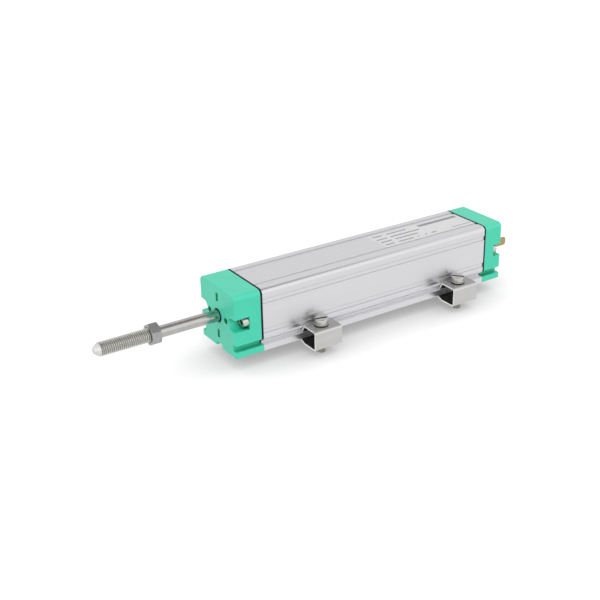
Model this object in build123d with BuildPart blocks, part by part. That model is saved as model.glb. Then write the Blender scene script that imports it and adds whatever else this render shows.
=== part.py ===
from build123d import *
from math import cos, radians, sin, sqrt, tan
import os

# Linear potentiometer with a square extruded body, a push rod and four
# hook-shaped mounting clamps. Millimetres. +X runs along the rod towards the
# connector, +Z is up. The origin is the centre of the four clamp screws, on
# the plane that the clamps' feet stand on.

# Body section, heights counted from the body's underside
body_width = 33.5
body_height = 33.0
top_corner_radius = 2.5
bottom_corner_radius = 0.4
clamp_groove_bottom = 3.4
clamp_groove_height = 3.3
clamp_groove_depth = 3.0
groove_inner_height = 0.7
groove_lip_rounding = 2.0
channel_width = 5.6
channel_depth = 2.1
rod_height = 17.4

# Shallow decorative grooves of the extrusion
line_groove_width = 2.3
line_groove_depth = 0.35
top_line_offset = 10.0
side_line_heights = (26.6, 10.7)

# Lengths along X
profile_length = 141.8
front_cap_length = 15.0
rear_cap_length = 11.5
gasket_thickness = 0.85

# Hollow inside the extrusion
wall = 2.0
floor_height = 4.2
groove_wall = 2.15
port_gap = 0.75
side_bay_bottom = 8.8

# Screws that hold the end caps
cap_screw_inset = 3.15
cap_screw_radius = 1.5
cap_screw_port_wall = 1.4
cap_screw_grip = 12.0
cap_screw_head_radius = 2.75
cap_screw_head_height = 3.0
cap_screw_head_chamfer = 0.3
cap_screw_key_width = 2.5
cap_screw_key_depth = 1.5
pocket_radius = 3.3
front_pocket_depth = 8.3
rear_pocket_depth = 5.0
thread_clearance = 0.05
screw_hole_clearance = 0.2

# Front cap details
cap_edge_radius = 0.4
key_slot_width = 1.5
key_slot_length = 4.4
key_slot_depth = 4.0
key_slot_offset = 9.8
pin_hole_radius = 1.1
pin_hole_from_screw = 5.6
pin_hole_depth = 4.0
core_side_wall = 1.3
core_top_wall = 3.4
core_bottom = 5.6
core_front_wall = 6.0
spigot_radius = 8.0
spigot_reach = 8.0

# Push rod
rod_radius = 3.0
rod_reach = 65.4
thread_length = 32.9
thread_radius = 3.0
thread_core_radius = 2.5
nose_length = 3.6
nose_tip_radius = 1.4
nose_bulge_place = 0.4
nose_bulge_radius = 0.83
neck_radius = 2.0
neck_gap = 1.5
ball_radius = 4.0

# Guide bush, wiper seal and stops
rod_clearance = 0.03
seat_clearance = 0.02
bush_radius = 5.0
seal_length = 3.0
seal_wall_opening = 0.7
seal_lip_recess = 0.3
seal_front_wall = 1.2
bumper_length = 3.0
bumper_bore_clearance = 0.6

# Lock nut
nut_across_flats = 10.0
nut_length = 5.0
nut_chamfer_angle = 30.0
nut_mouth_chamfer = 0.4

# Track board inside the extrusion
board_thickness = 1.6
lead_floor_gap = 1.45
board_slot_depth = 0.4
board_clearance = 0.05
board_front_gap = 0.8
board_rear_gap = 0.5
track_thickness = 0.1
track_width = 3.0
track_offset = 4.0
track_end_margin = 4.0

# Carriage and wiper
carriage_length = 22.0
carriage_side_clearance = 1.65
carriage_lift = 1.6
carriage_rise = 7.0
carriage_corner = 1.5
wing_height = 2.0
wing_side_clearance = 0.3
slide_clearance = 0.05
socket_front_wall = 4.0
neck_hole_radius = 2.6
retainer_length = 5.0
stroke_in = 25.0
wiper_sheet = 0.2
wiper_base_length = 12.0
wiper_base_width = 12.0
wiper_finger_width = 0.5
wiper_finger_pitch = 0.75
wiper_finger_count = 4
wiper_finger_length = 7.0
wiper_touch = 0.03

# Connector at the rear
contact_inset = 0.65
contact_count = 4
blade_width = 4.8
blade_thickness = 0.8
blade_reach = 10.8
blade_tip_radius = 1.6
blade_tail_width = 2.4
blade_tail_length = 1.8
base_recess = 0.3
base_clearance = 0.05
base_shoulder = 7.0
base_flange_wall = 0.65
base_flange_reach = 1.55
base_flange_thickness = 2.5
base_corner_radius = 1.0
base_tower_radius = 6.0
base_tower_length = 3.55
insert_radius = 2.5
insert_bore_radius = 1.25
insert_length = 6.5
lead_width = 1.2
lead_thickness = 0.6

# Clamps and their screws
front_clamp_setback = 46.5
rear_clamp_setback = 34.5
clamp_length = 16.0
clamp_sheet = 0.8
clamp_reach = 11.4
clamp_top = 7.9
clamp_foot_drop = 2.6
clamp_bend_radius = 1.2
hook_bend_radius = 0.5
hook_top_reach = 1.4
hook_tip_inset = 0.75
hook_gap = 0.05
foot_bend_reach = 1.5
foot_tip_inset = 2.5
foot_gap = 0.1
clamp_screw_offset = 4.75
clamp_screw_radius = 2.0
clamp_shank_radius = 1.77
clamp_screw_length = 16.0
clamp_screw_tip_chamfer = 0.5
clamp_hole_clearance = 0.25
head_radius = 3.5
head_height = 2.6
head_edge_chamfer = 0.3
head_slot_width = 1.2
head_slot_depth = 1.1
washer_radius = 3.7
washer_thickness = 0.9
washer_split = 0.5
washer_clearance = 0.15

# Places worked out from the sizes above
side_y = body_width / 2
base_z = clamp_foot_drop
overall_length = front_cap_length + rear_cap_length + profile_length + 2 * gasket_thickness
clamp_pitch = overall_length - front_clamp_setback - rear_clamp_setback
front_x = -clamp_pitch / 2 - front_clamp_setback
profile_x = front_x + front_cap_length + gasket_thickness
profile_end_x = profile_x + profile_length
rear_cap_x = profile_end_x + gasket_thickness
rear_x = rear_cap_x + rear_cap_length
axis_z = base_z + rod_height
cap_screw_offset = side_y - cap_screw_inset
port_radius = cap_screw_radius + thread_clearance
port_boss_radius = port_radius + cap_screw_port_wall
screw_hole_radius = cap_screw_radius + screw_hole_clearance
upper_half_width = side_y - wall
lower_half_width = side_y - clamp_groove_depth - groove_wall
inner_top = body_height - wall
ledge_height = rod_height + port_boss_radius + port_gap
side_bay_top = rod_height - port_boss_radius - port_gap
core_half_width = cap_screw_offset - pocket_radius - core_side_wall
core_top = body_height - core_top_wall
pin_hole_offset = cap_screw_offset - pin_hole_from_screw
board_half_width = lower_half_width + board_slot_depth
carriage_half_width = cap_screw_offset - port_boss_radius - carriage_side_clearance
flange_pocket_half_width = cap_screw_offset - screw_hole_radius - base_flange_wall
base_flange_half_width = flange_pocket_half_width - base_clearance
base_half_width = base_flange_half_width - base_flange_reach
contact_radius = base_half_width - contact_inset
groove_middle = clamp_groove_bottom + clamp_groove_height / 2
seal_x = front_x + seal_front_wall
bush_x = seal_x + seal_length
spigot_end_x = profile_x + spigot_reach
shoulder_x = rear_x - base_shoulder
flange_x = shoulder_x - base_flange_thickness
rear_stop_x = flange_x - base_tower_length - bumper_length
carriage_front_x = rear_stop_x - slide_clearance - stroke_in - carriage_length
ball_seat = sqrt(ball_radius**2 - neck_hole_radius**2)
ball_x = carriage_front_x + socket_front_wall + ball_seat + slide_clearance
socket_radius = ball_radius + slide_clearance
retainer_x = ball_x + ball_seat + slide_clearance
board_top = rod_height - flange_pocket_half_width + lead_floor_gap
board_bottom = board_top - board_thickness
carriage_bottom = board_top + carriage_lift
carriage_top = rod_height + carriage_rise
board_x = profile_x + board_front_gap
board_end_x = profile_end_x - board_rear_gap
track_top = board_top + track_thickness
rod_tip_x = front_x - rod_reach
thread_end_x = rod_tip_x + thread_length
nut_x = thread_end_x - nut_length


def section_plane(x, height=0.0):
    """A plane across the body at x: local x is +Y, local y is +Z."""
    return Plane(origin=(x, 0, base_z + height), x_dir=(0, 1, 0), z_dir=(1, 0, 0))


def body_outline(bottom=0.0):
    """The outer outline of the body, from the height bottom up to the top."""
    height = body_height - bottom
    with Locations((0, bottom)):
        Rectangle(body_width, height, align=(Align.CENTER, Align.MIN))
    fillet(vertices().group_by(Axis.Y)[-1], top_corner_radius)
    if bottom < bottom_corner_radius:
        fillet(vertices().group_by(Axis.Y)[0], bottom_corner_radius)


def cut_clamp_grooves():
    """The square grooves low on both sides of a cap or gasket."""
    depth = 2 * clamp_groove_depth
    with Locations((-side_y, groove_middle), (side_y, groove_middle)):
        Rectangle(depth, clamp_groove_height, mode=Mode.SUBTRACT)


def cut_tapered_grooves():
    """The extrusion's own grooves: the same mouth and floor, with a sloping ceiling."""
    mouth_top = clamp_groove_bottom + clamp_groove_height
    inner_y = side_y - clamp_groove_depth
    outer_y = side_y + clamp_groove_depth
    for side in (-1, 1):
        Polygon(
            (side * side_y, mouth_top),
            (side * inner_y, clamp_groove_bottom + groove_inner_height),
            (side * inner_y, clamp_groove_bottom),
            (side * outer_y, clamp_groove_bottom),
            (side * outer_y, mouth_top),
            align=None,
            mode=Mode.SUBTRACT,
        )
    fillet(vertices().sort_by(lambda vertex: abs(vertex.Y - mouth_top))[:2], groove_lip_rounding)


def cut_bottom_channel():
    """The shallow channel along the middle of the underside."""
    Rectangle(channel_width, 2 * channel_depth, mode=Mode.SUBTRACT)


def cap_section():
    """The solid section of an end cap."""
    body_outline()
    cut_clamp_grooves()
    cut_bottom_channel()


def cap_lip_section():
    """The part of a cap below the grooves, which reaches past the gasket."""
    Rectangle(body_width, clamp_groove_bottom, align=(Align.CENTER, Align.MIN))
    fillet(vertices().group_by(Axis.Y)[0], bottom_corner_radius)
    cut_bottom_channel()


def screw_places():
    """Where the two cap screws pass, on a section plane."""
    return Locations((-cap_screw_offset, rod_height), (cap_screw_offset, rod_height))


def screw_pocket_section():
    """Half-round pockets for the screw heads, open to both sides."""
    with screw_places():
        Circle(pocket_radius)
    for side in (-1, 1):
        with Locations((side * (cap_screw_offset + side_y) / 2, rod_height)):
            Rectangle(side_y - cap_screw_offset, 2 * pocket_radius)


def base_square(half_width, mode=Mode.ADD):
    """The rounded square of the contact base and of what it fits in."""
    RectangleRounded(2 * half_width, 2 * half_width, base_corner_radius, mode=mode)


def save(part, name):
    """Labels a finished piece and writes its file."""
    part.label = name
    export_step(part, f"parts/{name}.step")


os.makedirs("parts", exist_ok=True)

# Extruded body
with BuildPart() as profile:
    with BuildSketch(section_plane(profile_x)):
        body_outline()
        cut_tapered_grooves()
        cut_bottom_channel()
        for side in (-1, 1):
            with Locations((side * top_line_offset, body_height)):
                Rectangle(line_groove_width, 2 * line_groove_depth, mode=Mode.SUBTRACT)
            for height in side_line_heights:
                with Locations((side * side_y, height)):
                    Rectangle(2 * line_groove_depth, line_groove_width, mode=Mode.SUBTRACT)
    extrude(amount=profile_length)
    with BuildSketch(section_plane(profile_x)):
        with Locations((0, (floor_height + inner_top) / 2)):
            Rectangle(2 * lower_half_width, inner_top - floor_height)
        with Locations((0, (ledge_height + inner_top) / 2)):
            Rectangle(2 * upper_half_width, inner_top - ledge_height)
        with Locations((0, (side_bay_bottom + side_bay_top) / 2)):
            Rectangle(2 * upper_half_width, side_bay_top - side_bay_bottom)
        with Locations((0, (board_bottom + board_top) / 2)):
            Rectangle(2 * (board_half_width + board_clearance), board_thickness + 2 * board_clearance)
        with screw_places():
            Circle(port_boss_radius, mode=Mode.SUBTRACT)
        with screw_places():
            Circle(port_radius)
    extrude(amount=profile_length, mode=Mode.SUBTRACT)
save(profile.part, "profile")

# Front cap: cored from behind, with a spigot that carries the guide bush
with BuildPart() as front_cap:
    with BuildSketch(section_plane(front_x)):
        cap_section()
    extrude(amount=front_cap_length)
    fillet(faces().sort_by(Axis.X)[0].outer_wire().edges(), cap_edge_radius)
    with BuildSketch(section_plane(front_x + front_cap_length)):
        cap_lip_section()
    extrude(amount=gasket_thickness)
    with BuildSketch(section_plane(front_x + core_front_wall)):
        with Locations((0, (core_bottom + core_top) / 2)):
            Rectangle(2 * core_half_width, core_top - core_bottom)
    extrude(amount=front_cap_length - core_front_wall, mode=Mode.SUBTRACT)
    with BuildSketch(section_plane(front_x + core_front_wall, rod_height)):
        Circle(spigot_radius)
    extrude(amount=spigot_end_x - front_x - core_front_wall)
    with BuildSketch(section_plane(front_x)):
        screw_pocket_section()
    extrude(amount=front_pocket_depth, mode=Mode.SUBTRACT)
    with BuildSketch(section_plane(front_x + front_pocket_depth)):
        with screw_places():
            Circle(screw_hole_radius)
    extrude(amount=front_cap_length - front_pocket_depth, mode=Mode.SUBTRACT)
    with BuildSketch(section_plane(front_x, rod_height)):
        Circle(rod_radius + seal_wall_opening)
    extrude(amount=seal_front_wall, mode=Mode.SUBTRACT)
    with BuildSketch(section_plane(seal_x, rod_height)):
        Circle(bush_radius + seat_clearance)
    extrude(amount=spigot_end_x - seal_x, mode=Mode.SUBTRACT)
    with BuildSketch(section_plane(front_x, rod_height)):
        with Locations((0, key_slot_offset), (0, -key_slot_offset)):
            Rectangle(key_slot_width, key_slot_length)
    extrude(amount=key_slot_depth, mode=Mode.SUBTRACT)
    with BuildSketch(section_plane(front_x, rod_height)):
        with Locations((-pin_hole_offset, 0), (pin_hole_offset, 0)):
            Circle(pin_hole_radius)
    extrude(amount=pin_hole_depth, mode=Mode.SUBTRACT)
save(front_cap.part, "front_cap")

# Rear cap: takes the connector base from the inside
with BuildPart() as rear_cap:
    with BuildSketch(section_plane(rear_cap_x)):
        cap_section()
    extrude(amount=rear_cap_length)
    fillet(faces().sort_by(Axis.X)[-1].outer_wire().edges(), cap_edge_radius)
    with BuildSketch(section_plane(rear_cap_x - gasket_thickness)):
        cap_lip_section()
    extrude(amount=gasket_thickness)
    with BuildSketch(section_plane(rear_cap_x, rod_height)):
        base_square(flange_pocket_half_width)
    extrude(amount=shoulder_x - rear_cap_x, mode=Mode.SUBTRACT)
    with BuildSketch(section_plane(shoulder_x, rod_height)):
        base_square(base_half_width + base_clearance)
    extrude(amount=base_shoulder, mode=Mode.SUBTRACT)
    with BuildSketch(section_plane(rear_x - rear_pocket_depth)):
        screw_pocket_section()
    extrude(amount=rear_pocket_depth, mode=Mode.SUBTRACT)
    with BuildSketch(section_plane(rear_cap_x)):
        with screw_places():
            Circle(screw_hole_radius)
    extrude(amount=rear_cap_length - rear_pocket_depth, mode=Mode.SUBTRACT)
save(rear_cap.part, "rear_cap")

# Gaskets between the caps and the extrusion, one shape at both ends
for name, x in (("front_gasket", front_x + front_cap_length), ("rear_gasket", profile_end_x)):
    with BuildPart() as gasket:
        with BuildSketch(section_plane(x)):
            body_outline(bottom=clamp_groove_bottom)
            cut_clamp_grooves()
            with Locations((0, rod_height)):
                base_square(flange_pocket_half_width, mode=Mode.SUBTRACT)
            with screw_places():
                Circle(screw_hole_radius, mode=Mode.SUBTRACT)
        extrude(amount=gasket_thickness)
    save(gasket.part, name)


# Socket-head screws of the caps, one shape at both ends; facing is the way the shank runs
front_hold = front_cap_length - front_pocket_depth
rear_hold = rear_cap_length - rear_pocket_depth
for name, seat_x, facing, hold in (
    ("front_cap_screws", front_x + front_pocket_depth, 1, front_hold),
    ("rear_cap_screws", rear_x - rear_pocket_depth, -1, rear_hold),
):
    shank = hold + gasket_thickness + cap_screw_grip
    head_plane = Plane(
        origin=(seat_x, 0, base_z + rod_height), x_dir=(0, 1, 0), z_dir=(-facing, 0, 0)
    )
    with BuildPart() as cap_screws:
        with BuildSketch(head_plane):
            with Locations((-cap_screw_offset, 0), (cap_screw_offset, 0)):
                Circle(cap_screw_head_radius)
        extrude(amount=cap_screw_head_height)
        chamfer(faces().group_by(Axis.X)[0 if facing > 0 else -1].edges(), cap_screw_head_chamfer)
        with BuildSketch(head_plane):
            with Locations((-cap_screw_offset, 0), (cap_screw_offset, 0)):
                Circle(cap_screw_radius)
        extrude(amount=-shank)
        with BuildSketch(head_plane.offset(cap_screw_head_height)):
            with Locations((-cap_screw_offset, 0), (cap_screw_offset, 0)):
                RegularPolygon(cap_screw_key_width / 2, 6, major_radius=False)
        extrude(amount=-cap_screw_key_depth, mode=Mode.SUBTRACT)
    save(cap_screws.part, name)

# Wiper seal: a ring with a lip that shows round the rod at the front face
with BuildPart() as rod_seal:
    with BuildSketch(section_plane(seal_x, rod_height)):
        Circle(bush_radius)
    extrude(amount=seal_length)
    with BuildSketch(section_plane(front_x + seal_lip_recess, rod_height)):
        Circle(rod_radius + seal_wall_opening - seat_clearance)
    extrude(amount=seal_front_wall - seal_lip_recess)
    with BuildSketch(section_plane(front_x, rod_height)):
        Circle(rod_radius + rod_clearance)
    extrude(amount=seal_front_wall + seal_length, mode=Mode.SUBTRACT)
save(rod_seal.part, "rod_seal")

# Long guide bush behind the seal
with BuildPart() as rod_bush:
    with BuildSketch(section_plane(bush_x, rod_height)):
        Circle(bush_radius)
        Circle(rod_radius + rod_clearance, mode=Mode.SUBTRACT)
    extrude(amount=spigot_end_x - bush_x)
save(rod_bush.part, "rod_bush")

# Rubber stops at both ends of the stroke
with BuildPart() as front_bumper:
    with BuildSketch(section_plane(spigot_end_x, rod_height)):
        Circle(spigot_radius)
        Circle(rod_radius + bumper_bore_clearance, mode=Mode.SUBTRACT)
    extrude(amount=bumper_length)
save(front_bumper.part, "front_bumper")

with BuildPart() as rear_bumper:
    with BuildSketch(section_plane(rear_stop_x, rod_height)):
        Circle(base_tower_radius)
    extrude(amount=bumper_length)
save(rear_bumper.part, "rear_bumper")

# Board with the conductive plastic tracks
with BuildPart() as track_board:
    with BuildSketch(section_plane(board_x)):
        with Locations((0, (board_bottom + board_top) / 2)):
            Rectangle(2 * board_half_width, board_thickness)
    extrude(amount=board_end_x - board_x)
save(track_board.part, "track_board")

for name, side in (("resistive_track", -1), ("collector_track", 1)):
    with BuildPart() as track:
        with BuildSketch(section_plane(board_x + track_end_margin)):
            with Locations((side * track_offset, board_top)):
                Rectangle(track_width, track_thickness, align=(Align.CENTER, Align.MIN))
        extrude(amount=board_end_x - board_x - 2 * track_end_margin)
    save(track.part, name)

# Contact base with its flange behind the shoulder and a tower for the stop
with BuildPart() as connector_base:
    with BuildSketch(section_plane(flange_x, rod_height)):
        base_square(base_flange_half_width)
    extrude(amount=base_flange_thickness)
    with BuildSketch(section_plane(shoulder_x, rod_height)):
        base_square(base_half_width)
    extrude(amount=base_shoulder - base_recess)
    with BuildSketch(section_plane(rear_stop_x + bumper_length, rod_height)):
        Circle(base_tower_radius)
    extrude(amount=base_tower_length)
    with BuildSketch(section_plane(flange_x, rod_height)):
        with PolarLocations(contact_radius, contact_count):
            Rectangle(blade_thickness, blade_width)
    extrude(amount=rear_x - flange_x, mode=Mode.SUBTRACT)
    with BuildSketch(section_plane(rear_x - base_recess - insert_length, rod_height)):
        Circle(insert_radius)
    extrude(amount=insert_length, mode=Mode.SUBTRACT)
save(connector_base.part, "connector_base")

# Four flat blades: three contacts and the protective earth
with BuildPart() as connector_blades:
    for turn in range(contact_count):
        angle = radians(360 / contact_count * turn)
        blade_plane = Plane(
            origin=(flange_x, 0, axis_z), x_dir=(1, 0, 0), z_dir=(0, cos(angle), sin(angle))
        )
        with BuildSketch(blade_plane.offset(contact_radius - blade_thickness / 2)):
            Rectangle(rear_x + blade_reach - flange_x, blade_width, align=(Align.MIN, Align.CENTER))
            fillet(vertices().group_by(Axis.X)[-1], blade_tip_radius)
            Rectangle(blade_tail_length, blade_tail_width, align=(Align.MAX, Align.CENTER))
        extrude(amount=blade_thickness)
save(connector_blades.part, "connector_blades")

with BuildPart() as connector_insert:
    with BuildSketch(section_plane(rear_x - base_recess - insert_length, rod_height)):
        Circle(insert_radius)
        Circle(insert_bore_radius, mode=Mode.SUBTRACT)
    extrude(amount=insert_length)
save(connector_insert.part, "connector_insert")

# Flat strips from the ends of the tracks to three of the blades
tail_x = flange_x - blade_tail_length / 2
lead_start_x = board_end_x - track_end_margin
lead_z = base_z + board_top
with BuildPart() as track_leads:
    for side in (-1, 1):
        with BuildSketch(Plane.XY.offset(lead_z)):
            with BuildLine():
                Polyline(
                    (lead_start_x, side * track_offset),
                    (tail_x, side * track_offset),
                    (tail_x, side * (contact_radius + lead_thickness / 2)),
                )
            trace(line_width=lead_width)
        extrude(amount=lead_thickness)
        with BuildSketch(Plane.XY.offset(lead_z)):
            with Locations((tail_x, side * contact_radius)):
                Rectangle(lead_width, lead_thickness)
        extrude(amount=axis_z - blade_tail_width / 2 - lead_z)
    with BuildSketch(Plane.XY.offset(lead_z)):
        with Locations((lead_start_x, 0)):
            middle_length = flange_x - blade_tail_length - lead_start_x
            Rectangle(middle_length, lead_width, align=(Align.MIN, Align.CENTER))
    extrude(amount=lead_thickness)
save(track_leads.part, "track_leads")

# Carriage: a block on two wings that run on the ledges of the extrusion
with BuildPart() as carriage:
    with BuildSketch(section_plane(carriage_front_x)):
        with Locations((0, (carriage_bottom + carriage_top) / 2)):
            RectangleRounded(2 * carriage_half_width, carriage_top - carriage_bottom, carriage_corner)
        with Locations((0, ledge_height + slide_clearance + wing_height / 2)):
            Rectangle(2 * (upper_half_width - wing_side_clearance), wing_height)
    extrude(amount=carriage_length)
    with BuildSketch(section_plane(carriage_front_x, rod_height)):
        Circle(neck_hole_radius)
    extrude(amount=socket_front_wall, mode=Mode.SUBTRACT)
    with BuildSketch(section_plane(carriage_front_x + socket_front_wall, rod_height)):
        Circle(socket_radius)
    extrude(amount=carriage_length - socket_front_wall, mode=Mode.SUBTRACT)
save(carriage.part, "carriage")

# Plug that keeps the rod's ball in its socket
with BuildPart() as ball_retainer:
    with BuildSketch(section_plane(retainer_x, rod_height)):
        Circle(socket_radius - seat_clearance)
        Circle(neck_hole_radius, mode=Mode.SUBTRACT)
    extrude(amount=retainer_length)
save(ball_retainer.part, "ball_retainer")

# Wiper: a base plate under the carriage with two combs of spring fingers
wiper_x = carriage_front_x + (carriage_length - wiper_base_length) / 2
wiper_z = base_z + carriage_bottom - wiper_sheet
finger_drop = carriage_bottom - track_top - wiper_touch
with BuildPart() as wiper_contacts:
    with BuildSketch(Plane.XY.offset(wiper_z)):
        with Locations((wiper_x + wiper_base_length / 2, 0)):
            Rectangle(wiper_base_length, wiper_base_width)
    extrude(amount=wiper_sheet)
    for side in (-1, 1):
        for index in range(wiper_finger_count):
            shift = (index - (wiper_finger_count - 1) / 2) * wiper_finger_pitch
            finger_y = side * track_offset + shift
            with BuildSketch(Plane.XZ.offset(-finger_y - wiper_finger_width / 2)):
                with BuildLine():
                    Polyline(
                        (wiper_x, wiper_z + wiper_sheet),
                        (wiper_x, wiper_z),
                        (wiper_x - wiper_finger_length, wiper_z + wiper_sheet - finger_drop),
                        (wiper_x - wiper_finger_length, wiper_z + 2 * wiper_sheet - finger_drop),
                        close=True,
                    )
                make_face()
            extrude(amount=wiper_finger_width)
save(wiper_contacts.part, "wiper_contacts")

# Push rod: threaded front end with a rounded nose, ball at the inner end; the nut
# grips the thread at its core, so the thread in front of it is a wall of its own
with BuildPart() as control_rod:
    with BuildSketch(Plane.XZ):
        with BuildLine():
            Line((nut_x, axis_z), (rod_tip_x, axis_z))
            Line((rod_tip_x, axis_z), (rod_tip_x, axis_z + nose_tip_radius))
            ThreePointArc(
                (rod_tip_x, axis_z + nose_tip_radius),
                (rod_tip_x + nose_length * nose_bulge_place, axis_z + thread_radius * nose_bulge_radius),
                (rod_tip_x + nose_length, axis_z + thread_radius),
            )
            Line((rod_tip_x + nose_length, axis_z + thread_radius), (nut_x, axis_z + thread_radius))
            Line((nut_x, axis_z + thread_radius), (nut_x, axis_z))
        make_face()
    revolve(axis=Axis((0, 0, axis_z), (1, 0, 0)))
    with BuildSketch(section_plane(nut_x, rod_height)):
        Circle(thread_core_radius)
    extrude(amount=nut_length)
    with BuildSketch(section_plane(thread_end_x, rod_height)):
        Circle(rod_radius)
    extrude(amount=carriage_front_x - neck_gap - thread_end_x)
    with BuildSketch(section_plane(carriage_front_x - neck_gap, rod_height)):
        Circle(neck_radius)
    extrude(amount=ball_x - carriage_front_x + neck_gap)
    with Locations((ball_x, 0, axis_z)):
        Sphere(ball_radius)
save(control_rod.part, "control_rod")

# Hexagon nut on the thread
with BuildPart() as lock_nut:
    with BuildSketch(section_plane(nut_x, rod_height)):
        RegularPolygon(nut_across_flats / 2, 6, major_radius=False, rotation=30)
    extrude(amount=nut_length)
    with BuildSketch(Plane.XZ):
        flat_z = axis_z + nut_across_flats / 2
        cone_rise = nut_length / 2 / tan(radians(nut_chamfer_angle))
        with BuildLine():
            Polyline(
                (nut_x, axis_z),
                (nut_x, flat_z),
                (nut_x + nut_length / 2, flat_z + cone_rise),
                (nut_x + nut_length, flat_z),
                (nut_x + nut_length, axis_z),
                close=True,
            )
        make_face()
    revolve(axis=Axis((0, 0, axis_z), (1, 0, 0)), mode=Mode.INTERSECT)
    with BuildSketch(section_plane(nut_x, rod_height)):
        Circle(thread_core_radius + thread_clearance)
    extrude(amount=nut_length, mode=Mode.SUBTRACT)
    chamfer(edges().filter_by(GeomType.CIRCLE).sort_by(SortBy.RADIUS)[:2], nut_mouth_chamfer)
save(lock_nut.part, "lock_nut")

# Folded clamps with a hook in the groove, each with its screw and lock washer
sheet_middle = clamp_sheet / 2
foot_tip_z = base_z - sheet_middle - foot_gap
screw_y = side_y + clamp_screw_offset
split_reach = 2 * (washer_radius - clamp_screw_radius)
for side_name, side in (("right", -1), ("left", 1)):
    for end_name, clamp_x in (("front", -clamp_pitch / 2), ("rear", clamp_pitch / 2)):
        place = f"{end_name}_{side_name}"
        sheet_plane = Plane(origin=(clamp_x, side * side_y, 0), x_dir=(0, side, 0), z_dir=(side, 0, 0))

        with BuildPart() as clamp:
            with BuildSketch(sheet_plane):
                with BuildLine() as fold:
                    FilletPolyline(
                        (-hook_tip_inset, base_z + clamp_groove_bottom + hook_gap + sheet_middle),
                        (hook_top_reach, base_z + clamp_top - sheet_middle),
                        (clamp_reach - sheet_middle, base_z + clamp_top - sheet_middle),
                        (clamp_reach - sheet_middle, sheet_middle),
                        (foot_bend_reach, sheet_middle),
                        (-foot_tip_inset, foot_tip_z),
                        radius=[hook_bend_radius, clamp_bend_radius, clamp_bend_radius, clamp_bend_radius],
                    )
                trace(line_width=clamp_sheet)
            extrude(amount=clamp_length / 2, both=True)
            with BuildSketch(Plane.XY):
                with Locations((clamp_x, side * screw_y)):
                    Circle(clamp_screw_radius + clamp_hole_clearance)
            extrude(amount=base_z + clamp_top, mode=Mode.SUBTRACT)
        save(clamp.part, f"clamp_{place}")

        with BuildPart() as washer:
            with BuildSketch(Plane.XY.offset(base_z + clamp_top)):
                with Locations((clamp_x, side * screw_y)):
                    Circle(washer_radius)
                    Circle(clamp_screw_radius + washer_clearance, mode=Mode.SUBTRACT)
                    with Locations((0, side * washer_radius)):
                        Rectangle(washer_split, split_reach, mode=Mode.SUBTRACT)
            extrude(amount=washer_thickness)
        save(washer.part, f"lock_washer_{place}")

        with BuildPart() as screw:
            head_z = base_z + clamp_top + washer_thickness
            with BuildSketch(Plane.XY.offset(head_z)):
                with Locations((clamp_x, side * screw_y)):
                    Circle(head_radius)
            extrude(amount=head_height)
            chamfer(faces().sort_by(Axis.Z)[-1].edges(), head_edge_chamfer)
            with BuildSketch(Plane.XY):
                with Locations((clamp_x, side * screw_y)):
                    Circle(clamp_shank_radius)
            extrude(amount=head_z)
            with BuildSketch(Plane.XY):
                with Locations((clamp_x, side * screw_y)):
                    Circle(clamp_screw_radius)
            extrude(amount=head_z - clamp_screw_length)
            chamfer(faces().sort_by(Axis.Z)[0].edges(), clamp_screw_tip_chamfer)
            with BuildSketch(Plane.XY.offset(head_z + head_height - head_slot_depth)):
                with Locations((clamp_x, side * screw_y)):
                    Rectangle(2 * head_radius, head_slot_width)
            extrude(amount=head_slot_depth, mode=Mode.SUBTRACT)
        save(screw.part, f"clamp_screw_{place}")
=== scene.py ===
from math import cos, hypot, pi, radians, sin

import bmesh
import bpy
from mathutils import Matrix, Vector


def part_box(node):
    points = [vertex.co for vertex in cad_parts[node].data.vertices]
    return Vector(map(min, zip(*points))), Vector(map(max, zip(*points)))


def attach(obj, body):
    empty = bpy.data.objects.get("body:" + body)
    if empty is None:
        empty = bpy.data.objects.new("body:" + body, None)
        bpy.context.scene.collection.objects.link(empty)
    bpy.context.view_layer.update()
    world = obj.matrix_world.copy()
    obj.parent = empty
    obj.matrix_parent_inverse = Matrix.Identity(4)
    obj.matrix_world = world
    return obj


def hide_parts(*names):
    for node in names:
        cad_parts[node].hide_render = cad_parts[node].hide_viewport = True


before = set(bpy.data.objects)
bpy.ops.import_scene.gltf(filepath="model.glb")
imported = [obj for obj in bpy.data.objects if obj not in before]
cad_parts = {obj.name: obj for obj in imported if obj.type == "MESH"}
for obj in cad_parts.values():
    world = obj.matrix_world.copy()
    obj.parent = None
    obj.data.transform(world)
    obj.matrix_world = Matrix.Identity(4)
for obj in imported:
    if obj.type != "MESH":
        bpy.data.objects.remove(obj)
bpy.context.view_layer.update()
mm = 0.001
sameSpot = 0.01 * mm  # points nearer to each other than this are in one place
rodHeight = 20 * mm
sideNames = ("right", "left")
endNames = ("front", "rear")
print("frame loaded,", len(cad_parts), "nodes")

# Materials: colours are screen values from 0 to 255, sizes are in mm
patternRules = {
    "noiseSpread": (0.3, 0.7),  # nearly all of a noise pattern lies between these
    "recessSpread": (0.1, 0.8),  # how open a deep recess and a free surface are
    "nearbyRays": 8, "patchDetail": 3.0, "grainDetail": 5.0,
    "even": (1, 1, 1),  # not drawn out along any axis
}


def screenColour(red, green, blue):
    # undoes the curve of a screen, so that the colour renders as it is written
    return tuple((v / 255 / 12.92) if v < 11 else ((v / 255 + 0.055) / 1.055) ** 2.4 for v in (red, green, blue))


def startMaterial(name):
    material = bpy.data.materials.new(name)
    material.use_nodes = True
    tree = material.node_tree
    return material, tree.nodes, tree.links, tree.nodes["Principled BSDF"]


def addMath(nodes, links, operation, *values):
    # each value is a number or another node's output
    node = nodes.new("ShaderNodeMath")
    node.operation = operation
    for socket, value in zip(node.inputs, values):
        if isinstance(value, (int, float)):
            socket.default_value = value
        else:
            links.new(value, socket)
    return node.outputs["Value"]


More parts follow.
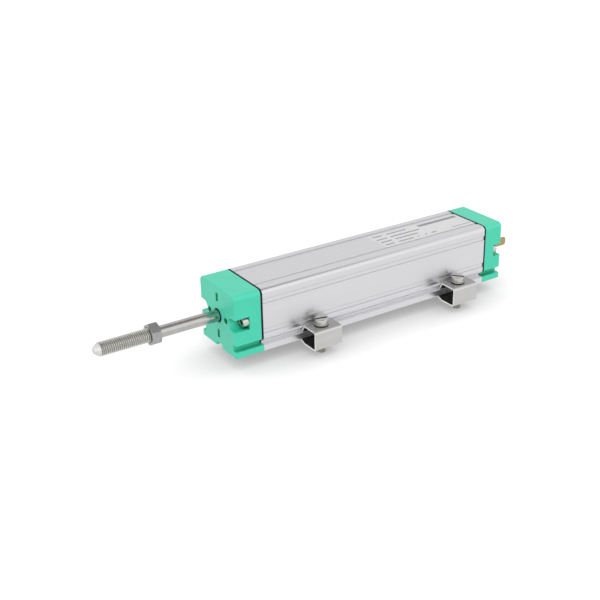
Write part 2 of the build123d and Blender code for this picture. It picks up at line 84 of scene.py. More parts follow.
def addRange(nodes, links, value, start, end, low=0.0, high=1.0):
    spread = nodes.new("ShaderNodeMapRange")
    for title, number in (("From Min", start), ("From Max", end), ("To Min", low), ("To Max", high)):
        spread.inputs[title].default_value = number
    links.new(value, spread.inputs["Value"])
    return spread.outputs["Result"]


def addNoise(nodes, links, size, stretch, detail):
    # size is the width of one feature, a low stretch draws it out along that axis
    coords = nodes.new("ShaderNodeTexCoord")
    mapping = nodes.new("ShaderNodeMapping")
    mapping.inputs["Scale"].default_value = stretch
    noise = nodes.new("ShaderNodeTexNoise")
    noise.inputs["Scale"].default_value = 1 / (size * mm)
    noise.inputs["Detail"].default_value = detail
    links.new(coords.outputs["Object"], mapping.inputs["Vector"])
    links.new(mapping.outputs["Vector"], noise.inputs["Vector"])
    return noise.outputs["Fac"]


def addTint(nodes, links, factor, dark, light):
    ramp = nodes.new("ShaderNodeValToRGB")
    for stop, place, colour in zip(ramp.color_ramp.elements, patternRules["noiseSpread"], (dark, light)):
        stop.position = place
        stop.color = (*screenColour(*colour), 1)
    links.new(factor, ramp.inputs["Fac"])
    return ramp.outputs["Color"]


def addBlend(nodes, links, share, other, colour):
    mix = nodes.new("ShaderNodeMix")
    mix.data_type = "RGBA"
    mix.inputs[6].default_value = (*screenColour(*other), 1)  # the mix node's colour A
    links.new(share, mix.inputs[0])
    links.new(colour, mix.inputs[7])  # and its colour B
    return mix.outputs[2]


def addOpenness(nodes, reach):
    # 1 on a free surface, less where other surfaces stand within reach
    openness = nodes.new("ShaderNodeAmbientOcclusion")
    openness.samples = patternRules["nearbyRays"]
    openness.inputs["Distance"].default_value = reach * mm
    return openness.outputs["AO"]


def addRecessShade(nodes, links, colour, deep, reach):
    # painted shade: a deeper tone where the surface lies in a recess
    share = addRange(nodes, links, addOpenness(nodes, reach), *patternRules["recessSpread"])
    return addBlend(nodes, links, share, deep, colour)


def addRise(nodes, links, colour, low, start, end):
    # another tone low down, which passes into the given one between two heights
    coords = nodes.new("ShaderNodeTexCoord")
    parts = nodes.new("ShaderNodeSeparateXYZ")
    links.new(coords.outputs["Object"], parts.inputs["Vector"])
    share = addRange(nodes, links, parts.outputs["Z"], start * mm, end * mm)
    return addBlend(nodes, links, share, low, colour)


def addRelief(nodes, links, factor, depth, shader):
    bump = nodes.new("ShaderNodeBump")
    bump.inputs["Distance"].default_value = depth * mm
    bump.inputs["Strength"].default_value = 1.0
    links.new(factor, bump.inputs["Height"])
    links.new(bump.outputs["Normal"], shader.inputs["Normal"])


def makeFinish(name, look):
    material, nodes, links, shader = startMaterial(name)
    even = patternRules["even"]
    patches = addNoise(
        nodes, links, look["patchSize"], look.get("patchStretch", even), patternRules["patchDetail"])
    grain = addNoise(
        nodes, links, look["grainSize"], look.get("grainStretch", even), patternRules["grainDetail"])
    colour = addTint(nodes, links, patches, look["dark"], look["light"])
    if "deep" in look:
        colour = addRecessShade(nodes, links, colour, look["deep"], look["reach"])
    if "low" in look:
        colour = addRise(nodes, links, colour, look["low"], *look["heights"])
    roughness = addRange(nodes, links, grain, *patternRules["noiseSpread"], *look["roughness"])
    links.new(colour, shader.inputs["Base Color"])
    links.new(roughness, shader.inputs["Roughness"])
    addRelief(nodes, links, grain, look["relief"], shader)
    shader.inputs["Metallic"].default_value = look.get("metallic", 0.0)
    shader.inputs["Specular IOR Level"].default_value = look.get("gloss", 0.5)
    return material


drawnMetal = {  # fine streaks along the body
    "patchSize": 6, "patchStretch": (0.05, 1, 1), "grainSize": 0.35, "grainStretch": (0.02, 1, 1),
}
rolledSheet = {
    "patchSize": 4, "patchStretch": (0.3, 1, 1), "grainSize": 0.3, "grainStretch": (0.04, 1, 1),
    "roughness": (0.3, 0.38), "relief": 0.002, "metallic": 1.0,
}
looks = {
    "bodyAluminium": {
        **drawnMetal, "dark": (212, 212, 215), "light": (215, 215, 218),
        "roughness": (0.27, 0.31), "relief": 0.0006, "metallic": 0.85,
    },
    "lineShade": {
        **drawnMetal, "dark": (193, 193, 197), "light": (199, 199, 203), "patchSize": 4, "grainSize": 0.4,
        "roughness": (0.5, 0.6), "relief": 0.001, "metallic": 0.6,
    },
    # painted light: brighter, matt copies of the aluminium in the clamp grooves, the first growing lighter towards
    # its lower edge
    "litGrooveAluminium": {
        **drawnMetal, "dark": (214, 213, 218), "light": (217, 216, 221), "low": (242, 241, 245),
        "heights": (9.1, 10.2), "roughness": (0.62, 0.7), "relief": 0.0006, "gloss": 0.1,
    },
    "litGrooveFloor": {
        **drawnMetal, "dark": (219, 218, 221), "light": (223, 222, 225),
        "roughness": (0.62, 0.7), "relief": 0.0006, "gloss": 0.1,
    },
    # painted shade: a darker copy of the aluminium on the rounded top corners, dimming their highlight
    "shadedCornerAluminium": {
        **drawnMetal, "dark": (200, 200, 203), "light": (204, 204, 207),
        "roughness": (0.15, 0.19), "relief": 0.0004, "metallic": 0.85,
    },
    # its deep tone is painted shade in recesses
    "greenPlastic": {
        "dark": (50, 209, 172), "light": (56, 213, 178), "deep": (10, 122, 74), "reach": 4, "patchSize": 9,
        "grainSize": 0.35, "roughness": (0.36, 0.44), "relief": 0.006, "gloss": 0.85,
    },
    # painted shade inside the holes and slots of the front face
    "deepGreen": {
        "dark": (26, 138, 88), "light": (34, 150, 98), "patchSize": 2,
        "grainSize": 0.3, "roughness": (0.42, 0.52), "relief": 0.006, "gloss": 0.4,
    },
    "gasketRubber": {
        "dark": (34, 33, 34), "light": (42, 41, 42), "patchSize": 3,
        "grainSize": 0.3, "roughness": (0.7, 0.85), "relief": 0.01, "gloss": 0.2,
    },
    "sealRubber": {
        "dark": (18, 18, 18), "light": (24, 24, 24), "patchSize": 2,
        "grainSize": 0.2, "roughness": (0.55, 0.7), "relief": 0.006, "gloss": 0.3,
    },
    "bushPlastic": {
        "dark": (58, 57, 55), "light": (68, 66, 63), "patchSize": 2,
        "grainSize": 0.2, "roughness": (0.4, 0.5), "relief": 0.005,
    },
    "boardLaminate": {
        "dark": (62, 98, 62), "light": (80, 118, 76), "patchSize": 0.6, "patchStretch": (1, 1, 4),
        "grainSize": 0.4, "roughness": (0.4, 0.55), "relief": 0.01,
    },
    "trackCarbon": {
        "dark": (30, 30, 31), "light": (42, 42, 43), "patchSize": 0.8,
        "grainSize": 0.1, "roughness": (0.3, 0.45), "relief": 0.002,
    },
    "basePlastic": {
        "dark": (34, 34, 36), "light": (44, 44, 46), "patchSize": 4,
        "grainSize": 0.3, "roughness": (0.42, 0.55), "relief": 0.008,
    },
    "contactBrass": {
        "dark": (162, 143, 100), "light": (178, 160, 115), "patchSize": 1.5,
        "grainSize": 0.3, "grainStretch": (0.1, 1, 1), "roughness": (0.22, 0.34), "relief": 0.004,
        "metallic": 1.0,
    },
    "carriagePlastic": {
        "dark": (226, 224, 214), "light": (234, 233, 226), "patchSize": 5,
        "grainSize": 0.4, "roughness": (0.35, 0.45), "relief": 0.006,
    },
    "rodSteel": {
        "dark": (173, 171, 168), "light": (181, 179, 176), "patchSize": 3, "patchStretch": (1, 0.3, 0.3),
        "grainSize": 0.15, "grainStretch": (1, 0.1, 0.1), "roughness": (0.12, 0.2), "relief": 0.001,
        "metallic": 1.0,
    },
    # painted light: lighter copies of the rod's steel for the thread and the nose
    "litThreadSteel": {
        "dark": (196, 195, 190), "light": (206, 205, 200), "patchSize": 2,
        "grainSize": 0.2, "roughness": (0.36, 0.46), "relief": 0.0006, "metallic": 1.0,
    },
    "litNoseSteel": {
        "dark": (211, 210, 208), "light": (219, 218, 216), "patchSize": 1.5, "patchStretch": (1, 0.3, 0.3),
        "grainSize": 0.4, "roughness": (0.38, 0.5), "relief": 0.0006, "metallic": 0.8,
    },
    "nutSteel": {
        "dark": (160, 160, 160), "light": (171, 171, 171), "patchSize": 2,
        "grainSize": 0.3, "roughness": (0.3, 0.4), "relief": 0.004, "metallic": 1.0,
    },
    "screwSteel": {
        "dark": (188, 187, 181), "light": (200, 199, 193), "patchSize": 1.5,
        "grainSize": 0.25, "roughness": (0.2, 0.3), "relief": 0.004, "metallic": 1.0,
    },
    # painted shade: a darker steel for the screw shanks, thread roots and the body's lower lip edge
    "shadedSteel": {
        "dark": (122, 120, 113), "light": (138, 136, 128), "patchSize": 1.2,
        "grainSize": 0.25, "roughness": (0.3, 0.42), "relief": 0.004, "metallic": 1.0,
    },
    "clampSteel": {**rolledSheet, "dark": (192, 191, 189), "light": (199, 198, 196)},
    # painted shade on the clamps' tops, and below it a painted highlight on their cut edges
    "shadedClampTop": {**rolledSheet, "dark": (171, 170, 169), "light": (180, 179, 178)},
    "litCutSteel": {
        "dark": (238, 237, 235), "light": (246, 245, 243), "patchSize": 1,
        "grainSize": 0.15, "roughness": (0.45, 0.6), "relief": 0.01, "metallic": 0.4,
    },
    # painted shade: a dark finish for slots, sockets, clamp insides, groove lips and the nut's mouth, where shade
    # falls
    "paintedShade": {
        "dark": (46, 46, 45), "light": (66, 66, 64), "patchSize": 1,
        "grainSize": 0.2, "roughness": (0.5, 0.65), "relief": 0.006, "metallic": 0.5,
    },
    "washerSteel": {
        "dark": (22, 22, 23), "light": (32, 32, 33), "patchSize": 1,
        "grainSize": 0.2, "roughness": (0.3, 0.42), "relief": 0.004, "metallic": 0.3,
    },
    "labelFilm": {
        "dark": (215, 215, 216), "light": (219, 219, 220), "patchSize": 4,
        "grainSize": 0.5, "roughness": (0.4, 0.48), "relief": 0.003,
    },
    "labelInk": {
        "dark": (138, 138, 142), "light": (152, 152, 156), "patchSize": 0.7,
        "grainSize": 0.2, "roughness": (0.45, 0.55), "relief": 0.001,
    },
}
finishes = {title: makeFinish(title, look) for title, look in looks.items()}
print("finishes made,", len(finishes))

# Geometry helpers: sizes in mm, angles in degrees
meshRules = {"pieceMerge": 0.0002, "solidMerge": 0.0005, "threadMerge": 0.001, "flatBelow": 0.3, "roundAbove": 35}
lean = {"some": 0.3, "half": 0.5, "most": 0.9}  # share of a face's normal along an axis


def addPiece(bm, name, body, paints, nodes=(), sharpAbove=40):
    # paints are the finishes of the faces, the first one wherever nothing else is painted
    bmesh.ops.remove_doubles(bm, verts=bm.verts, dist=meshRules["pieceMerge"] * mm)
    bmesh.ops.recalc_face_normals(bm, faces=bm.faces)
    mesh = bpy.data.meshes.new(name)
    bm.to_mesh(mesh)
    bm.free()
    mesh.shade_smooth()
    mesh.set_sharp_from_angle(angle=radians(sharpAbove))
    for title in paints:
        mesh.materials.append(finishes[title])
    piece = bpy.data.objects.new(name, mesh)
    bpy.context.scene.collection.objects.link(piece)
    shading = piece.modifiers.new("evenShading", "WEIGHTED_NORMAL")
    shading.keep_sharp = True
    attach(piece, body)
    if nodes:
        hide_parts(*nodes)
    return piece


def solidCopy(node):
    bm = bmesh.new()
    bm.from_mesh(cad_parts[node].data)
    bmesh.ops.remove_doubles(bm, verts=bm.verts, dist=meshRules["solidMerge"] * mm)
    bmesh.ops.dissolve_limit(bm, angle_limit=radians(meshRules["flatBelow"]), verts=bm.verts, edges=bm.edges)
    return bm


def everything(bm):
    return bm.verts[:] + bm.edges[:] + bm.faces[:]


def edgeMiddle(edge):
    return (edge.verts[0].co + edge.verts[1].co) / 2


def roundEdges(bm, width, segments=2, above=meshRules["roundAbove"], chosen=lambda edge: True):
    edges = [e for e in bm.edges if len(e.link_faces) == 2 and e.calc_face_angle() > radians(above) and chosen(e)]
    bmesh.ops.bevel(
        bm, geom=edges, offset=width * mm, offset_type="OFFSET", affect="EDGES", segments=segments,
        profile=0.5, material=-1, clamp_overlap=True,
    )


def paintFaces(bm, paints, title, chosen):
    bm.normal_update()
    for face in bm.faces:
        if chosen(face.calc_center_median(), face.normal):
            face.material_index = paints.index(title)


def splitLevel(bm, height):
    # an edge all round at one height, so that the faces above and below it can differ
    bmesh.ops.bisect_plane(bm, geom=everything(bm), plane_co=(0, 0, height), plane_no=(0, 0, 1))


def cutAway(bm, place, way):
    # what lies beyond the plane goes, and the cut is closed
    cut = bmesh.ops.bisect_plane(bm, geom=everything(bm), plane_co=place, plane_no=way, clear_outer=True)
    rim = [item for item in cut["geom_cut"] if isinstance(item, bmesh.types.BMEdge)]
    bmesh.ops.edgeloop_fill(bm, edges=rim)


def threadShell(bm, thread, start, end, crestPaint, rootPaint):
    # one ridge per pitch, turned once round with a drift of one pitch, so that the turns join into a helix
    pitch, steps = thread["pitch"], thread["steps"]
    spare = 2  # ridges past each end, cut away below
    ridges = int((end - start) / pitch) + 2 * spare
    outline = []
    for ridge in range(ridges):
        x = start - spare * pitch + ridge * pitch
        for along, level in thread["ridge"]:
            outline.append(bm.verts.new(((x + along * pitch) * mm, 0, thread[level] * mm)))
    lines = [bm.edges.new(pair) for pair in zip(outline, outline[1:])]
    bmesh.ops.spin(
        bm, geom=outline + lines, cent=(0, 0, 0), axis=(1, 0, 0), dvec=(pitch * mm / steps, 0, 0),
        angle=2 * pi, steps=steps, use_merge=False, use_duplicate=False,
    )
    bmesh.ops.remove_doubles(bm, verts=bm.verts, dist=meshRules["threadMerge"] * mm)
    for face in bm.faces:
        atRoot = all(hypot(v.co.y, v.co.z) < thread["root"] * mm + sameSpot for v in face.verts)
        face.material_index = rootPaint if atRoot else crestPaint
    cutAway(bm, (start * mm, 0, 0), (-1, 0, 0))
    cutAway(bm, (end * mm, 0, 0), (1, 0, 0))


def lathe(bm, outline, steps):
    # outline holds places along the axis with their radii, from one end on the axis to the other
    corners = [bm.verts.new((x * mm, 0, radius * mm)) for x, radius in outline]
    lines = [bm.edges.new(pair) for pair in zip(corners, corners[1:])]
    bmesh.ops.spin(
        bm, geom=corners + lines, cent=(0, 0, 0), axis=(1, 0, 0), angle=2 * pi, steps=steps, use_merge=True,
    )
    bmesh.ops.remove_doubles(bm, verts=bm.verts, dist=meshRules["solidMerge"] * mm)


# Extruded body: long edges barely broken, cut ends with a brighter chamfer
bodyShape = {
    "longEdge": 0.1, "cutEdge": 0.15, "longFrom": 100,  # longer edges run along the body
    "sideLines": (13.3, 29.2), "topLine": 10.0, "lineDepth": 0.36, "lineHalfWidth": 1.15, "stripWidth": 0.3,
    "labelSink": 0.08,
    "outerSide": 13.4, "outerTop": 35.0, "outerFoot": 5.5,  # an edge past one of these lies on the outside
    "grooveSide": 13, "grooveHeights": (5.9, 10.2), "grooveFloorTop": 8.6,
    "lipWidth": 0.2, "lipLean": (0.3, 0.95),
    "cornerHeight": 33.0, "cornerSide": 14, "cornerSlopes": (10, 72),  # degrees from level
}
bodyPaints = (
    "bodyAluminium", "lineShade", "litGrooveAluminium", "shadedCornerAluminium", "paintedShade", "shadedSteel", "litGrooveFloor",
)
profileLow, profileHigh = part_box("profile")


def atCutEnd(edge):
    return all(min(abs(v.co.x - profileLow.x), abs(v.co.x - profileHigh.x)) < sameSpot for v in edge.verts)


def alongBody(edge):
    return abs(edge.verts[0].co.x - edge.verts[1].co.x) > bodyShape["longFrom"] * mm


def outerEdge(edge):
    middle = edgeMiddle(edge) / mm
    return (
        abs(middle.y) > bodyShape["outerSide"] or middle.z > bodyShape["outerTop"]
        or middle.z < bodyShape["outerFoot"])


def nearSideLine(middle, low, high):
    # low and high are heights above the middle of a line groove
    return any(low < middle.z / mm - height < high for height in bodyShape["sideLines"])


def inLineGroove(middle, normal):
    reach = bodyShape["lineHalfWidth"] + bodyShape["stripWidth"]
    depth = bodyShape["lineDepth"] * mm
    inSide = (
        profileHigh.y - abs(middle.y) < depth and abs(normal.z) > lean["some"]
        and nearSideLine(middle, -reach, reach))
    inTop = (
        profileHigh.z - middle.z < depth and abs(normal.y) > lean["some"]
        and abs(abs(middle.y) - bodyShape["topLine"] * mm) < reach * mm)
    return inSide or inTop


def onShadowStrip(middle, normal):
    # a painted shadow line above each groove in the sides
    low = bodyShape["lineHalfWidth"]
    return (
        abs(normal.y) > lean["most"] and profileHigh.y - abs(middle.y) < sameSpot
        and nearSideLine(middle, low, low + bodyShape["stripWidth"]))


def inClampGroove(middle, normal):
    low, high = bodyShape["grooveHeights"]
    return (
        abs(middle.y) > bodyShape["grooveSide"] * mm and low * mm < middle.z < high * mm
        and abs(normal.x) < lean["half"])


def onLowerLip(middle, normal):
    least, most = bodyShape["lipLean"]
    return (
        inClampGroove(middle, normal) and least < normal.z < most
        and profileHigh.y - abs(middle.y) < bodyShape["lipWidth"] * mm)


def onCorner(middle, normal):
    flattest, steepest = (cos(radians(slope)) for slope in bodyShape["cornerSlopes"])
    return (
        steepest < normal.z < flattest and middle.z > bodyShape["cornerHeight"] * mm
        and abs(middle.y) > bodyShape["cornerSide"] * mm)


body = solidCopy("profile")
for vert in body.verts:
    if vert.co.z > profileHigh.z - sameSpot and abs(vert.co.y) < bodyShape["topLine"] * mm:
        vert.co.z -= bodyShape["labelSink"] * mm  # the label lies here, level with the top
roundEdges(body, bodyShape["cutEdge"], chosen=lambda edge: atCutEnd(edge) and outerEdge(edge))
roundEdges(body, bodyShape["longEdge"], chosen=lambda edge: alongBody(edge) and outerEdge(edge))
for height in bodyShape["sideLines"]:
    splitLevel(body, (height + bodyShape["lineHalfWidth"] + bodyShape["stripWidth"]) * mm)
# painted shade: a darker finish in the line grooves and on a strip above each, and a dark one on their upper lips
paintFaces(body, bodyPaints, "lineShade", lambda middle, normal: (
    inLineGroove(middle, normal) or onShadowStrip(middle, normal)))
paintFaces(body, bodyPaints, "paintedShade", lambda middle, normal: (
    inLineGroove(middle, normal) and normal.z < -lean["some"]))
# painted light in the clamp grooves
paintFaces(body, bodyPaints, "litGrooveAluminium", inClampGroove)
paintFaces(body, bodyPaints, "litGrooveFloor", lambda middle, normal: (
    inClampGroove(middle, normal) and middle.z < bodyShape["grooveFloorTop"] * mm))
# painted shade: a dark line on the edge of the lower lip
paintFaces(body, bodyPaints, "shadedSteel", onLowerLip)
# painted shade on the rounded top corners
paintFaces(body, bodyPaints, "shadedCornerAluminium", onCorner)
addPiece(body, "extrudedBody", "housing", bodyPaints, ("profile",))
print("extruded body made")

# End caps: the holes and slots in the front face open a little and get painted shade inside, the edges at the
# gaskets stay dark
capShape = {
    "edge": 0.15, "gasketEdge": {"front": 0.3, "rear": 0.15}, "edgeLean": (0.1, 0.9), "jointGap": 0.05,
    "pinOffset": 8.0, "pinRadius": 1.1, "pinMouth": 1.6, "pinGap": 0.05, "slotHalf": 0.75, "slotMouth": 0.98,
    "markHalfWidth": 9.6, "markHalfHeight": 12.5, "markDepths": (0.05, 4.1),
    "rimFoot": 6.05, "rimSide": 15.9, "rimTop": 34.4, "rimGrooveSide": 13.7, "rimGrooveTop": 9,
}
capPaints = ("greenPlastic", "deepGreen", "gasketRubber")


def openMouths(cap, facePlane):
    for vert in cap.verts:
        if abs(vert.co.x - facePlane) > sameSpot:
            continue
        side = 1 if vert.co.y > 0 else -1
        out = Vector((abs(vert.co.y) - capShape["pinOffset"] * mm, vert.co.z - rodHeight))
        if 0 < out.length < (capShape["pinRadius"] + capShape["pinGap"]) * mm:
            out *= capShape["pinMouth"] * mm / out.length
            vert.co.y, vert.co.z = side * (out.x + capShape["pinOffset"] * mm), out.y + rodHeight
        elif abs(abs(vert.co.y) - capShape["slotHalf"] * mm) < sameSpot:
            vert.co.y = side * capShape["slotMouth"] * mm


def onRim(place):
    # on the cap's outline from the clamp grooves upwards
    y, z = abs(place.y) / mm, place.z / mm
    inGroove = z < capShape["rimGrooveTop"] and y > capShape["rimGrooveSide"]
    return z > capShape["rimFoot"] and (y > capShape["rimSide"] or z > capShape["rimTop"] or inGroove)


def makeCap(endName):
    cap = solidCopy(f"{endName}_cap")
    capEnds, gasketEnds = ([corner.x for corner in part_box(f"{endName}_{part}")] for part in ("cap", "gasket"))
    if endName == "rear":
        capEnds.reverse()
        gasketEnds.reverse()
    facePlane = capEnds[0]
    gasketPlane, bodyPlane = gasketEnds
    gasketEdge = capShape["gasketEdge"][endName]

    def atGasket(edge):
        return all(abs(v.co.x - gasketPlane) < sameSpot and onRim(v.co) for v in edge.verts)

    def awayFromJoints(edge):
        # the slots and holes in the front face and the edges at the gasket stay crisp
        middle = edgeMiddle(edge)
        inFace = abs(middle.y) < capShape["markHalfWidth"] * mm and abs(middle.x - facePlane) < sameSpot
        atJoint = (
            abs(middle.x - gasketPlane) < (gasketEdge + capShape["jointGap"]) * mm
            or abs(middle.x - bodyPlane) < sameSpot)
        return not inFace and not atJoint

    def onGasketEdge(middle, normal):
        least, most = capShape["edgeLean"]
        return (
            abs(middle.x - gasketPlane) < gasketEdge * mm and least < abs(normal.x) < most
            and middle.z > capShape["rimFoot"] * mm)

    def inFrontRecess(middle, normal):
        shallow, deep = capShape["markDepths"]
        return (
            abs(middle.y) < capShape["markHalfWidth"] * mm
            and abs(middle.z - rodHeight) < capShape["markHalfHeight"] * mm
            and shallow * mm < middle.x - facePlane < deep * mm)

    if endName == "front":
        openMouths(cap, facePlane)
    roundEdges(cap, gasketEdge, 1, chosen=atGasket)
    paintFaces(cap, capPaints, "gasketRubber", onGasketEdge)
    roundEdges(cap, capShape["edge"], chosen=awayFromJoints)
    if endName == "front":
        # painted shade: a darker green inside the holes and slots
        paintFaces(cap, capPaints, "deepGreen", inFrontRecess)
    addPiece(cap, endName + "Cap", "housing", capPaints, (f"{endName}_cap",))


for endName in endNames:
    makeCap(endName)

# Gaskets, cap screws, seal and connector, each from its own solid with softened edges
plainPieces = {
    # node: name, slot, finish and width of the softened edges
    "front_gasket": ("frontGasket", "gasket_rubber", "gasketRubber", 0.01),
    "rear_gasket": ("rearGasket", "gasket_rubber", "gasketRubber", 0.01),
    "front_cap_screws": ("frontCapScrews", "screw_steel", "screwSteel", 0.1),
    "rear_cap_screws": ("rearCapScrews", "screw_steel", "screwSteel", 0.1),
    "rod_seal": ("rodSeal", "seal_rubber", "sealRubber", 0.06),
    "connector_base": ("contactBase", "contact_base_plastic", "basePlastic", 0.12),
    "connector_blades": ("contactBlades", "contact_brass", "contactBrass", 0.1),
    "connector_insert": ("threadedInsert", "contact_brass", "contactBrass", 0.08),
}
keySocket = {"offset": 13.6, "reach": 1.55, "depth": 0.15}


def paintKeySockets(bm, node, paints):
    ends = [corner.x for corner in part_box(node)]
    headPlane = ends[0] if node.startswith("front") else ends[1]
    # painted shade inside the key sockets
    paintFaces(bm, paints, "paintedShade", lambda middle, normal: (
        abs(middle.x - headPlane) > keySocket["depth"] * mm
        and hypot(abs(middle.y) - keySocket["offset"] * mm, middle.z - rodHeight) < keySocket["reach"] * mm))


for node, (name, slot, finish, width) in plainPieces.items():
    shape = solidCopy(node)
    roundEdges(shape, width)
    paints = (finish,)
    if "screws" in node:
        paints = (finish, "paintedShade")
        paintKeySockets(shape, node, paints)
    addPiece(shape, name, "housing", paints, (node,))
print("caps, gaskets and connector made")

# Push rod: a turned bar with a helical thread in front of the shank
threadRidge = ((0.0, "root"), (0.16, "root"), (0.5, "crest"), (0.66, "crest"))  # places are shares of the pitch
rodThread = {"crest": 3.52, "root": 3.0, "pitch": 1.0, "steps": 48, "ridge": threadRidge}
rodShape = {
    "tip": -156.4, "tipRadius": 1.1, "tipFlat": 0.7, "tipDepth": 0.02,
    "noseEnd": -153.4, "noseRadius": 3.5, "noseBulge": 0.75, "noseSteps": 7, "noseOverlap": 0.1, "noseStep": 0.3,
    "threadEnd": -124.2, "threadRunOut": 0.6, "shankRadius": 3.0,
    "neckStart": 14.4, "neckRadius": 2.0, "ballRadius": 4.0, "ballAngles": range(30, 181, 15),
}
# the lighter thread and nose are painted light, the darker thread roots painted shade
rodPaints = ("rodSteel", "litThreadSteel", "shadedSteel", "litNoseSteel")


def noseOutline():
    length = rodShape["noseEnd"] - rodShape["tip"]
    growth = rodShape["noseRadius"] - rodShape["tipRadius"]
    shares = [turn / rodShape["noseSteps"] for turn in range(rodShape["noseSteps"] + 1)]
    return [
        (rodShape["tip"] + length * share, rodShape["tipRadius"] + growth * share ** rodShape["noseBulge"])
        for share in shares]


def ballOutline():
    radius = rodShape["ballRadius"]
    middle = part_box("control_rod")[1].x / mm - radius
    return [(middle - radius * cos(radians(a)), radius * sin(radians(a))) for a in rodShape["ballAngles"]]


rod = bmesh.new()
threadShell(
    rod, rodThread, rodShape["noseEnd"] - rodShape["noseOverlap"], rodShape["threadEnd"],
    rodPaints.index("litThreadSteel"), rodPaints.index("shadedSteel"),
)
lathe(rod, [
    (rodShape["tip"], 0), (rodShape["tip"] + rodShape["tipDepth"], rodShape["tipRadius"] * rodShape["tipFlat"]),
    *noseOutline(),
    (rodShape["noseEnd"] + rodShape["noseStep"], rodThread["root"]),
    (rodShape["threadEnd"] - rodShape["threadRunOut"], rodThread["root"]),
    (rodShape["threadEnd"], rodShape["shankRadius"]), (rodShape["neckStart"], rodShape["shankRadius"]),
    (rodShape["neckStart"], rodShape["neckRadius"]), *ballOutline(),
], rodThread["steps"])
paintFaces(rod, rodPaints, "litNoseSteel", lambda middle, normal: middle.x < rodShape["noseEnd"] * mm)
bmesh.ops.translate(rod, verts=rod.verts, vec=(0, 0, rodHeight))
addPiece(rod, "pushRod", "rod", rodPaints, ("control_rod",), 50)

# Lock nut: its bore is widened to pass the thread
nutShape = {
    "bore": 3.6, "mouth": 3.95, "edge": 0.1, "roundAbove": 20,
    "boreBelow": 2.7, "mouthBelow": 3.1,  # the solid's vertices nearer to the axis than these
    "shadeSide": 0.8, "shadeGap": 0.02,
}
nutPaints = ("nutSteel", "paintedShade")


def fromAxis(place):
    return Vector((place.y, place.z - rodHeight))


nut = solidCopy("lock_nut")
for vert in nut.verts:
    out = fromAxis(vert.co)
    if out.length < nutShape["mouthBelow"] * mm:
        wanted = nutShape["bore"] if out.length < nutShape["boreBelow"] * mm else nutShape["mouth"]
        out *= wanted * mm / out.length
        vert.co.y, vert.co.z = out.x, out.y + rodHeight
roundEdges(nut, nutShape["edge"], above=nutShape["roundAbove"])
# painted shade in the mouth, on the near side only
for face in nut.faces:
    shaded = face.calc_center_median().y < nutShape["shadeSide"] * mm
    if shaded and max(fromAxis(v.co).length for v in face.verts) < (nutShape["mouth"] + nutShape["shadeGap"]) * mm:
        face.material_index = nutPaints.index("paintedShade")
addPiece(nut, "lockNut", "rod", nutPaints, ("lock_nut",))
print("rod and nut made")

# Clamps with their lock washers and screws
clampShape = {"edge": 0.06, "insideFrom": 0.5}
clampPaints = ("clampSteel", "litCutSteel", "paintedShade", "shadedClampTop")
washerShape = {"edge": 0.1, "darkHeight": 0.5}
washerPaints = ("washerSteel", "screwSteel")
screwThread = {"crest": 2.0, "root": 1.72, "pitch": 0.7, "steps": 36, "ridge": threadRidge}
screwShape = {
    "headEdge": 0.12, "slotHalf": 0.62, "slotReach": 3.3, "slotDepths": (0.05, 1.15),
    "tip": -4.6, "tipRadius": 1.92, "tipEdge": 0.12, "bodyRadius": 2.05, "topRadius": 1.7,
    "threadStart": -4.15, "threadTop": 7.6, "topDepth": 0.1,
    "darkWithin": 1.8, "darkAbove": -4,  # low flanks nearer to the axis and higher up than these keep the painted shade
}
screwPaints = ("screwSteel", "paintedShade", "shadedSteel")
slotTurns = {"front_right": -15, "rear_right": -50, "front_left": 22, "rear_left": -8}  # degrees


def boxMiddle(node):
    low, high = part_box(node)
    return (low + high) / 2


def turnUpright(bm, middle, angle):
    bmesh.ops.rotate(bm, verts=bm.verts, cent=middle, matrix=Matrix.Rotation(angle, 3, "Z"))


def makeClamp(place, title):
    node = f"clamp_{place}"
    core = boxMiddle(node)
    clamp = solidCopy(node)
    roundEdges(clamp, clampShape["edge"])
    # painted shade on the inner faces
    paintFaces(clamp, clampPaints, "paintedShade", lambda middle, normal: (
        normal.y * (core.y - middle.y) + normal.z * (core.z - middle.z) > clampShape["insideFrom"] * mm
        and abs(normal.x) < lean["half"]))
    # painted highlight on the cut edges
    paintFaces(clamp, clampPaints, "litCutSteel", lambda middle, normal: abs(normal.x) > lean["half"])
    # painted shade on the top
    paintFaces(clamp, clampPaints, "shadedClampTop", lambda middle, normal: normal.z > lean["most"] and middle.z > core.z)
    addPiece(clamp, "clamp" + title, f"clamp_{place}", clampPaints, (node,))


def makeWasher(place, title):
    # two tones, as in the photo: dark below and bright above
    node = f"lock_washer_{place}"
    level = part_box(node)[0].z + washerShape["darkHeight"] * mm
    washer = solidCopy(node)
    roundEdges(washer, washerShape["edge"])
    splitLevel(washer, level)
    paintFaces(washer, washerPaints, "screwSteel", lambda middle, normal: middle.z > level)
    turnUpright(washer, boxMiddle(node), pi)
    addPiece(washer, "lockWasher" + title, f"clamp_{place}", washerPaints, (node,))


